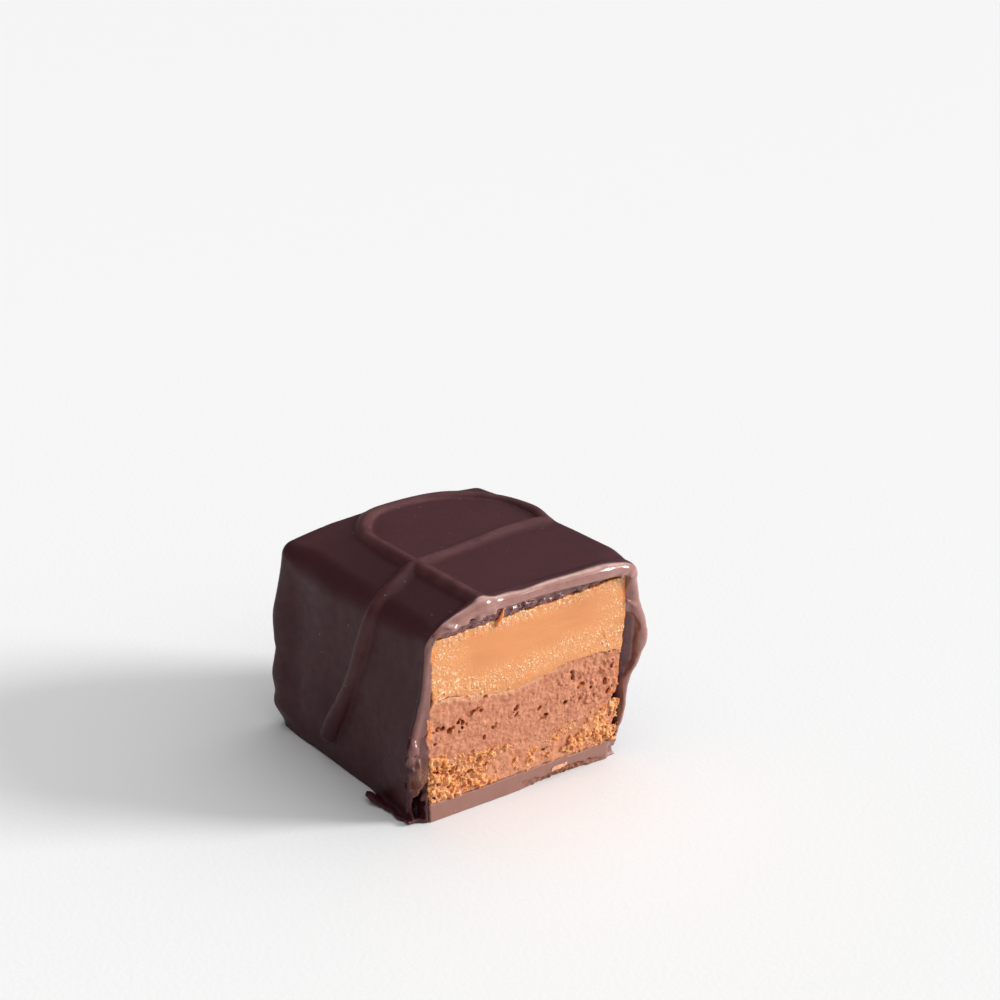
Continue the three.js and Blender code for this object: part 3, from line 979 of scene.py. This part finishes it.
def fudge_piece():
    """Chocolate fudge: a matt, finely grained cut with pits, and rougher towards the right."""
    axes = layer_axes(4.8, 14.6)
    x, _, z = places(axes)
    plane = (axes[0], FLAT, axes[2])
    lumpy = rise(x - 3, 6) * rise(z - 7, 3)
    rough = 0.45 + 0.45 * lumpy + 0.3 * rise(-x - 6, 6)
    relief = 0.045 * noise(plane, 0.3) + 0.06 * noise(plane, (0.9, 1, 0.6))
    smear = 0.02 * noise(plane, (0.5, 1, 0.14))
    front = CUT + 0.1 + rough * relief + smear + 0.02 * noise(plane, 0.16)
    below = crumb_top(x) - 0.9
    above = caramel_foot(x) + 0.05 + border(axes, 0.8, 0.08)
    field = slab_field(axes, below, above, front, 0.1)
    low, high = (4, CUT + 0.1, 8), (FILL_RIGHT, CUT + 0.3, 13)
    for grain in scatter(axes, FUDGE_LUMPS, low, high, (0.12, 0.32), 0.4):
        stamp(field, grain, 0.08)
    for place in PITS:
        part, distance = pit(axes, place)
        ragged = 0.1 * noise(cropped(axes, part), 0.25)
        carve(field, (part, distance + ragged), 0.06)
    low, high = (FILL_LEFT, CUT, 6.0), (FILL_RIGHT, CUT + 0.15, 12.8)
    for hole in scatter(axes, FUDGE_HOLES, low, high, (0.07, 0.17), 0.4):
        carve(field, hole, 0.05)
    pale = rise(z - caramel_foot(x) + 0.75, 0.6) * fall(x - 1, 4)
    return layer_piece("fudge_slab", field, axes, {"amber": spots(axes, FUDGE_AMBER), "pale": pale})


# Crumbs of three kinds: the range of their sizes, and how many are tried
CRUMB_SIZES = [((0.22, 0.42), 110), ((0.12, 0.19), 900), ((0.07, 0.12), 6000)]
CRUMB_HOLES = 260
# Cracks between the crumbs: x and z of each end, and half the width
CRACKS = [
    ((-12.8, 5.95), (-11.9, 5.55), 0.2), ((-11.9, 5.5), (-10.9, 5.5), 0.12),
    ((-10.8, 5.3), (-10.0, 5.0), 0.16), ((-9.9, 5.4), (-7.7, 6.7), 0.13), ((-9.2, 3.85), (-7.6, 4.75), 0.16),
    ((-12.6, 4.3), (-11.7, 4.1), 0.15), ((-11.4, 3.3), (-10.4, 3.6), 0.13), ((-8.1, 3.35), (-7.8, 3.3), 0.2),
    ((-3.6, 5.2), (-3.1, 5.35), 0.18), ((-6.2, 4.6), (-5.2, 4.9), 0.12), ((-1.2, 4.4), (-0.3, 4.7), 0.12),
    ((4.1, 5.4), (4.7, 6.1), 0.15), ((4.9, 6.2), (6.3, 6.3), 0.12), ((7.3, 5.8), (8.3, 5.95), 0.12),
    ((9.4, 6.55), (10.5, 6.75), 0.16), ((10.0, 5.1), (10.8, 5.35), 0.14), ((10.9, 2.7), (11.5, 3.4), 0.16),
    ((11.5, 7.3), (11.75, 5.4), 0.2), ((2.1, 3.9), (2.9, 4.2), 0.12), ((-12.9, 3.0), (-12.4, 2.7), 0.15),
]


def crumb_share(x, z):
    """How thickly crumbs lie at a place on the cut, from 0 to about 1."""
    left = 0.6 + 0.55 * rise(-x - 3, 4) - 0.3 * rise(x + 3, 3)
    middle = 0.85 * bump(x, 0.5, 6) * fall(z - 4.4, 1.5)
    right = 0.75 * bump(x, 5, 4) * bump(z, 5.6, 1.8) + 0.9 * rise(x - 8, 2)
    bare_foot = 0.35 * fall(z - 2.4, 1.1) * bump(x, -1, 11)
    return largest(left, middle, right) - bare_foot


def crumb_piece():
    """Biscuit crumbs bound with fudge: clusters of crumbs of several browns and sizes, with
    cracks between them."""
    axes = layer_axes(2.0, 8.6)
    x, _, z = places(axes)
    plane = (axes[0], FLAT, axes[2])
    share = crumb_share(x, z)
    front = CUT + 0.1 + 0.08 * share + (0.04 + 0.03 * share) * noise(plane, 0.6)
    front = front + 0.03 * noise(plane, 0.25)
    above = crumb_top(x) + 0.2 + border(axes, 1.0, 0.3) + border(axes, 0.35, 0.15)
    above = above + 0.9 * rise(x - 11.2, 0.5)
    field = slab_field(axes, BASE_TOP - 0.2, above, front, 0.15)
    clusters = noise(plane, 0.8)[:, 0, :]
    wrinkle = 0.05 * noise(axes, 0.2)
    tone = np.zeros(field.shape)
    low, high = (FILL_LEFT - 0.2, CUT + 0.05, 2.3), (FILL_RIGHT, CUT + 0.32, 7.6)
    for sizes, count in CRUMB_SIZES:
        for part, distance in scatter(axes, count, low, high, sizes, 0.5, 0.7):
            i, _, k = [(cut.start + min(cut.stop, len(axis))) // 2 for cut, axis in zip(part, axes)]
            middle_x, middle_z = axes[0][i], axes[2][k]
            if middle_z > crumb_top(middle_x) + 0.45:
                continue
            if clusters[i, k] * 0.4 + 0.5 > crumb_share(middle_x, middle_z):
                continue
            distance = distance + wrinkle[part]
            nearer = distance < field[part]
            tone[part][nearer] = random.uniform(0.25, 1.0)
            field[part] = join(field[part], distance, 0.05)
    for (ax, az), (bx, bz), half in CRACKS:
        bend = random.uniform(-0.15, 0.15)
        middle = ((ax + bx) / 2, CUT + 0.05, (az + bz) / 2 + bend)
        points = smooth_path([(ax, CUT - 0.1, az), middle, (bx, CUT - 0.1, bz)], 4)
        radii = half * (0.35 + 0.65 * np.sin(np.linspace(0, math.pi, len(points))))
        for a, b, ra, rb in segments(points, radii):
            for back in (0.0, 0.25, 0.5):
                part, distance = rod(axes, a + [0, back, 0], b + [0, back, 0], ra, rb, 0.8)
                carve(field, (part, distance + 1.6 * wrinkle[part]), 0.04)
    low, high = (FILL_LEFT, CUT - 0.05, 2.6), (FILL_RIGHT, CUT + 0.15, 6.6)
    for hole in scatter(axes, CRUMB_HOLES, low, high, (0.08, 0.2), 0.35):
        carve(field, hole, 0.04)
    return layer_piece("crumb_slab", field, axes, {"tone": tone})


def base_piece():
    """The chocolate base, chipped along its lower front edge."""
    axes = layer_axes(-0.05, BASE_TOP + 0.2)
    x, _, z = places(axes)
    plane = (axes[0], FLAT, axes[2])
    chip_top = 0.62 + border(axes, 1.6, 0.15) + border(axes, 0.4, 0.08) + 0.25 * bump(x, 4.5, 3)
    chip = bump(x, 5.5, 8.5) * fall(z - chip_top, 0.25)
    corner = rise(x - 11.6, 0.9) * (0.25 + 0.5 * bump(z, 0.8, 1.2))
    front = CUT - 0.02 + 0.5 * chip + 0.09 * chip * noise(plane, 0.25) + corner
    front = front + 0.006 * noise(plane, (0.5, 1, 2)) + 0.05 * rise(z - BASE_TOP + 0.3, 0.2)
    above = BASE_TOP - 0.05 + border(axes, 2.5, 0.06)
    field = slab_field(axes, 0.0, above, front, 0.06)
    chipped = np.maximum(chip, 0.5 * rise(z - BASE_TOP + 0.3, 0.12))
    return layer_piece("base_slab", field, axes, {"chipped": chipped})


# Loose bits that stick to the cut, each a mesh of its own: name, look, middle, half sizes and
# slant in degrees
BITS = [
    ("flake_on_base", "flake", (4.7, CUT, 1.3), (1.5, 0.17, 0.24), 4),
    ("speck_on_base", "flake", (-9.7, CUT - 0.05, 0.42), (0.12, 0.08, 0.09), 20),
    ("crumb_lump", "crumb", (12.1, CUT + 0.28, 6.6), (0.42, 0.4, 0.75), 12),
    ("crumb_right_low", "crumb", (10.3, CUT + 0.02, 3.3), (0.32, 0.24, 0.26), 30),
    ("crumb_right_edge", "crumb", (11.6, CUT + 0.05, 3.5), (0.24, 0.24, 0.42), 10),
    ("crumb_right_mid", "crumb", (8.9, CUT + 0.05, 5.9), (0.42, 0.24, 0.24), -25),
]
BIT_CELL = 0.035


def bit_piece(name, middle, reach, slant):
    """A small irregular lump."""
    middle, reach = np.array(middle), np.array(reach)
    span = 1.6 * reach.max() + 0.1
    axes = [np.arange(m - span, m + span, BIT_CELL) for m in middle]
    part, distance = lump(axes, middle, reach, slanted(slant), 0.5)
    field = empty_field(axes)
    relief = noise(cropped(axes, part), 0.16)
    field[part] = distance + 0.12 * reach.min() * relief
    corners, faces = largest_island(*surface_net(field, axes))
    tone = np.full(len(corners), random.uniform(0.6, 1.0))
    return add_piece(name, corners, faces, {"tone": tone, "deep": np.zeros(len(corners))})


# Materials

class Look:
    """A material whose nodes are added by short calls."""

    def __init__(self, name):
        self.material = bpy.data.materials.new(name)
        self.material.use_nodes = True
        self.tree = self.material.node_tree
        self.shader = self.tree.nodes["Principled BSDF"]
        place = self.add("TexCoord").outputs["Object"]
        self.place = self.add("VectorMath", {0: place, 1: (1 / MM,) * 3}, operation="MULTIPLY").outputs[0]

    def add(self, kind, values=None, **settings):
        """A node with its settings, and with its inputs linked or fixed."""
        node = self.tree.nodes.new("ShaderNode" + kind)
        for key, value in settings.items():
            setattr(node, key, value)
        for key, value in (values or {}).items():
            self.feed(node.inputs[key], value)
        return node

    def feed(self, socket, value):
        """Links a socket to another one or gives it a fixed value."""
        if isinstance(value, bpy.types.NodeSocket):
            self.tree.links.new(value, socket)
        else:
            socket.default_value = value

    def noise(self, size, detail=2.0, stretch=(1, 1, 1)):
        """Noise with lumps of about the given size in millimetres."""
        place = self.add("VectorMath", {0: self.place, 1: stretch}, operation="MULTIPLY").outputs[0]
        return self.add("TexNoise", {"Vector": place, "Scale": 1 / size, "Detail": detail}).outputs["Fac"]

    def specks(self, spacing, radius):
        """1 on scattered specks, 0 elsewhere."""
        cells = self.add("TexVoronoi", {"Vector": self.place, "Scale": 1 / spacing})
        return self.between(cells.outputs["Distance"], radius * 1.3, radius)

    def between(self, value, low, high):
        """From 0 at low to 1 at high."""
        node = self.add("MapRange", {0: value, 1: low, 2: high, 3: 0.0, 4: 1.0})
        return node.outputs[0]

    def math(self, operation, a, b):
        return self.add("Math", {0: a, 1: b}, operation=operation).outputs[0]

    def times(self, a, b):
        return self.math("MULTIPLY", a, b)

    def mix(self, factor, a, b):
        """From colour a to colour b."""
        return self.add("Mix", {0: factor, 6: a, 7: b}, data_type="RGBA").outputs[2]

    def shade(self, name):
        return self.add("Attribute", attribute_name=name).outputs["Fac"]

    def set(self, **values):
        """Links or fixes inputs of the shader, named by their names in lower case."""
        for key, value in values.items():
            socket = self.shader.inputs[key.replace("_", " ").title().replace("Ior", "IOR")]
            self.feed(socket, value)

    def bump(self, *reliefs):
        """Bumps from pairs of relief and depth in millimetres."""
        normal = None
        for relief, depth in reliefs:
            values = {"Height": relief, "Distance": depth * MM, "Strength": 1.0}
            if normal:
                values["Normal"] = normal
            normal = self.add("Bump", values).outputs["Normal"]
        self.set(normal=normal)

    def finish(self, base, roughness, gloss, depth, *reliefs):
        """Sets what every food has and gives the material: its base colour, roughness and gloss,
        the weight, scale and colours of the light that scatters in it, and its bumps."""
        self.set(base_color=base, roughness=roughness, specular_ior_level=gloss)
        weight, scale, radius = depth
        self.set(subsurface_weight=weight, subsurface_scale=scale * MM, subsurface_radius=radius)
        self.bump(*reliefs)
        return self.material


def colour(red, green, blue):
    return (red, green, blue, 1.0)


def coating_look():
    look = Look("dark_chocolate")
    cut = look.shade("cut")
    cloud = look.noise(3.0, 4.0)
    dark = look.mix(cloud, colour(0.044, 0.0085, 0.0125), colour(0.062, 0.0115, 0.016))
    fresh = look.mix(look.noise(0.8, 3.0), colour(0.24, 0.102, 0.086), colour(0.4, 0.185, 0.152))
    # Painted highlight: a pale line along the lip's rim, broken up by noise.
    rim = look.times(look.shade("rim"), look.between(look.noise(1.4), 0.25, 0.6))
    fresh = look.mix(look.times(rim, 0.6), fresh, colour(0.75, 0.5, 0.44))
    # Painted shade: a darker purple-brown in the recess under the lip and in the right hollow.
    recess = look.shade("recess")
    painted_recess_shade = look.mix(look.noise(0.4), colour(0.1, 0.032, 0.033), colour(0.22, 0.085, 0.085))
    fresh = look.mix(recess, fresh, painted_recess_shade)
    # Painted highlight: lighter patches along the string's crest.
    ridge = look.times(look.shade("ridge"), look.between(look.noise(2.5), 0.2, 0.6))
    dark = look.mix(ridge, dark, colour(0.088, 0.026, 0.028))
    base = look.mix(cut, dark, fresh)
    crumbly = look.shade("crumbly")
    torn = look.mix(look.noise(0.18, 3.0), colour(0.02, 0.006, 0.006), colour(0.45, 0.19, 0.125))
    base = look.mix(crumbly, base, torn)
    dusty = look.mix(look.times(look.specks(2.2, 0.045), 0.4), base, colour(0.3, 0.2, 0.17))
    satin = look.between(look.noise(1.2, 3.0), -1.0, 2.0)
    satin = look.math("SUBTRACT", satin, look.times(cut, 0.34))
    wet = look.math("SUBTRACT", look.times(cut, 0.9), look.times(recess, 0.35))
    look.set(coat_weight=look.between(wet, 0.0, 1.0), coat_roughness=0.2)
    granular = look.times(look.noise(0.25, 2.0), look.math("ADD", recess, crumbly))
    waves = look.noise(0.9, 2.0, (1, 1, 0.3))
    reliefs = (look.noise(0.12, 2.0), 0.003), (waves, 0.008), (granular, 0.12)
    return look.finish(dusty, satin, 0.24, (0.12, 0.5, (1.0, 0.35, 0.25)), *reliefs)


def caramel_look():
    look = Look("caramel")
    band = look.shade("band")
    streak = look.noise(1.5, 3.0, (0.25, 1, 1.4))
    base = look.mix(streak, colour(0.6, 0.21, 0.055), colour(0.73, 0.29, 0.09))
    base = look.mix(look.times(band, 0.35), base, colour(0.8, 0.36, 0.12))
    # Painted glints: pale specks in the grainy bands.
    grain = look.noise(0.23, 1.0)
    patchy = look.times(band, look.between(look.noise(1.1, 2.0), 0.3, 0.6))
    painted_glint = look.times(look.between(grain, 0.58, 0.66), patchy)
    base = look.mix(painted_glint, base, colour(1.0, 0.76, 0.52))
    amber = look.times(look.shade("amber"), look.between(look.noise(0.3), 0.35, 0.5))
    base = look.mix(amber, base, colour(0.78, 0.2, 0.02))
    # Painted shade and glow: darker orange where the caramel lies behind the cut.
    base = look.mix(look.times(look.shade("deep"), 0.7), base, colour(0.6, 0.17, 0.03))
    grains = look.times(grain, look.math("ADD", band, 0.15))
    reliefs = (grains, 0.13), (look.noise(0.5, 2.0, (0.4, 1, 1.5)), 0.03)
    return look.finish(base, 0.26, 0.8, (0.35, 1.0, (1.0, 0.5, 0.2)), *reliefs)


def fudge_look():
    look = Look("chocolate_fudge")
    cloud = look.between(look.noise(0.6, 4.0), 0.3, 0.7)
    base = look.mix(cloud, colour(0.43, 0.15, 0.08), colour(0.63, 0.265, 0.14))
    amber = look.times(look.shade("amber"), look.between(look.noise(0.4), 0.4, 0.6))
    base = look.mix(amber, base, colour(0.75, 0.22, 0.04))
    base = look.mix(look.times(look.shade("pale"), 0.7), base, colour(0.74, 0.36, 0.2))
    # Painted shade and glow: darker orange where the fudge lies behind the cut.
    base = look.mix(look.shade("deep"), base, colour(0.42, 0.1, 0.02))
    reliefs = (look.noise(0.14, 3.0), 0.08), (look.noise(0.4, 2.0), 0.05)
    return look.finish(base, 0.55, 0.4, (0.35, 0.7, (1.0, 0.3, 0.12)), *reliefs)


def crumb_look():
    look = Look("biscuit_crumb")
    tone = look.shade("tone")
    matrix = look.mix(look.noise(0.5, 3.0), colour(0.46, 0.16, 0.08), colour(0.7, 0.3, 0.15))
    crumb = look.mix(look.between(tone, 0.25, 1.0), colour(0.5, 0.14, 0.03), colour(0.98, 0.46, 0.16))
    # Painted highlights and painted pit shade: pale yellow and dark brown specks on the crumbs.
    fine = look.noise(0.13, 2.0)
    crumb = look.mix(look.between(fine, 0.55, 0.68), crumb, colour(1.0, 0.7, 0.38))
    crumb = look.mix(look.between(fine, 0.42, 0.32), crumb, colour(0.4, 0.11, 0.02))
    browner = look.times(look.between(look.noise(1.1, 2.0), 0.45, 0.6), 0.55)
    crumb = look.mix(browner, crumb, colour(0.6, 0.17, 0.025))
    base = look.mix(look.between(tone, 0.1, 0.24), matrix, crumb)
    # Painted shade and glow: darker orange where the crumbs lie behind the cut.
    base = look.mix(look.times(look.shade("deep"), 0.85), base, colour(0.36, 0.085, 0.014))
    return look.finish(base, 0.5, 0.5, (0.3, 0.5, (1.0, 0.35, 0.1)), (look.noise(0.14, 3.0), 0.07))


def base_look():
    look = Look("base_chocolate")
    base = look.mix(look.noise(1.2, 3.0, (1, 1, 0.3)), colour(0.25, 0.115, 0.09), colour(0.33, 0.165, 0.13))
    patches = look.between(look.noise(0.4, 3.0), 0.4, 0.6)
    broken = look.mix(patches, colour(0.11, 0.035, 0.018), colour(0.38, 0.13, 0.05))
    base = look.mix(look.shade("chipped"), base, broken)
    return look.finish(base, 0.4, 0.4, (0.15, 0.5, (1.0, 0.4, 0.25)), (look.noise(0.25, 2.0), 0.012))


def flake_look():
    look = Look("pale_flake")
    base = look.mix(look.noise(0.3, 3.0), colour(0.62, 0.28, 0.17), colour(0.8, 0.45, 0.3))
    return look.finish(base, 0.5, 0.4, (0.25, 0.5, (1.0, 0.4, 0.2)), (look.noise(0.12, 2.0), 0.03))


def floor_look():
    look = Look("floor")
    look.set(base_color=colour(0.86, 0.86, 0.86), roughness=0.9, specular_ior_level=0.1)
    look.bump((look.noise(0.6, 3.0), 0.02))
    return look.material


# The studio

CAMERA_PLACE = (-112.2, -148.07, 99.2)
CAMERA_HEADING = -38.59
CAMERA_PITCH = -20.52
CAMERA_ROLL = 2.08
CAMERA_LENS = 64.8


def add_camera():
    data = bpy.data.cameras.new("camera")
    data.lens = CAMERA_LENS
    data.clip_start = 0.01
    camera = add_object("camera", data)
    heading = Matrix.Rotation(math.radians(CAMERA_HEADING), 4, "Z")
    pitch = Matrix.Rotation(math.radians(90 + CAMERA_PITCH), 4, "X")
    roll = Matrix.Rotation(math.radians(CAMERA_ROLL), 4, "Z")
    camera.matrix_world = Matrix.Translation(Vector(CAMERA_PLACE) * MM) @ heading @ pitch @ roll
    bpy.context.scene.camera = camera


KEY_AZIMUTH = -36.0
KEY_ELEVATION = 22.0
KEY_STRENGTH = 3.05
KEY_WIDTH = 18.0

# The room is dim, with one broad bright side overhead that leans towards the key light.
ROOM_LEAN = 25.0
ROOM_DIM = 0.12
ROOM_BRIGHT = 1.13
ROOM_FADE = (0.3, 0.85)


def towards(azimuth, elevation):
    """The direction of a place in the sky, from angles in degrees."""
    azimuth, elevation = math.radians(azimuth), math.radians(elevation)
    flat = math.cos(elevation)
    return Vector((math.cos(azimuth) * flat, math.sin(azimuth) * flat, math.sin(elevation)))


def add_light():
    data = bpy.data.lights.new("key", "SUN")
    data.energy = KEY_STRENGTH
    data.angle = math.radians(KEY_WIDTH)
    light = add_object("key", data)
    light.rotation_euler = towards(KEY_AZIMUTH, KEY_ELEVATION).to_track_quat("Z", "Y").to_euler()


def add_room():
    """The light of the room, as a gradient round one direction."""
    world = bpy.data.worlds.new("studio")
    world.use_nodes = True
    tree = world.node_tree
    direction = tree.nodes.new("ShaderNodeTexCoord").outputs["Generated"]
    lean = tree.nodes.new("ShaderNodeVectorMath")
    lean.operation = "DOT_PRODUCT"
    lean.inputs[1].default_value = towards(KEY_AZIMUTH, 90 - ROOM_LEAN)
    tree.links.new(direction, lean.inputs[0])
    spread = tree.nodes.new("ShaderNodeMapRange")
    spread.interpolation_type = "SMOOTHSTEP"
    for socket, value in zip(spread.inputs[1:5], (*ROOM_FADE, ROOM_DIM, ROOM_BRIGHT)):
        socket.default_value = value
    tree.links.new(lean.outputs["Value"], spread.inputs[0])
    background = tree.nodes["Background"]
    background.inputs["Color"].default_value = colour(1.0, 1.0, 1.0)
    tree.links.new(spread.outputs[0], background.inputs["Strength"])
    bpy.context.scene.world = world


FLOOR_HALF = 3000.0
FLOOR_LEVEL = -0.01


def add_floor():
    square = ((-1, -1), (1, -1), (1, 1), (-1, 1))
    corners = np.array([(FLOOR_HALF * x, FLOOR_HALF * y, FLOOR_LEVEL) for x, y in square])
    floor = add_piece("floor", corners, np.array([[0, 1, 2, 3]]))
    floor.data.materials.append(floor_look())
    floor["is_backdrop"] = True


add_camera()
add_light()
add_room()
add_floor()
finish_piece(coating_piece(), coating_look(), "coating", "dark_chocolate")
finish_piece(caramel_piece(), caramel_look(), "caramel_layer", "caramel")
finish_piece(fudge_piece(), fudge_look(), "fudge_layer", "chocolate_fudge")
crumbs = crumb_look()
finish_piece(crumb_piece(), crumbs, "crumb_layer", "biscuit_crumb")
finish_piece(base_piece(), base_look(), "chocolate_base", "base_chocolate")
bit_looks = {"crumb": (crumbs, "biscuit_crumb"), "flake": (flake_look(), "base_chocolate")}
for name, kind, middle, reach, slant in BITS:
    look, slot = bit_looks[kind]
    finish_piece(bit_piece(name, middle, reach, slant), look, None, slot)

bpy.context.scene.view_settings.view_transform = "Standard"

both = {"cad": cad_box, "visual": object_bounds()}
{key: [list(corner) for corner in box] for key, box in both.items()}
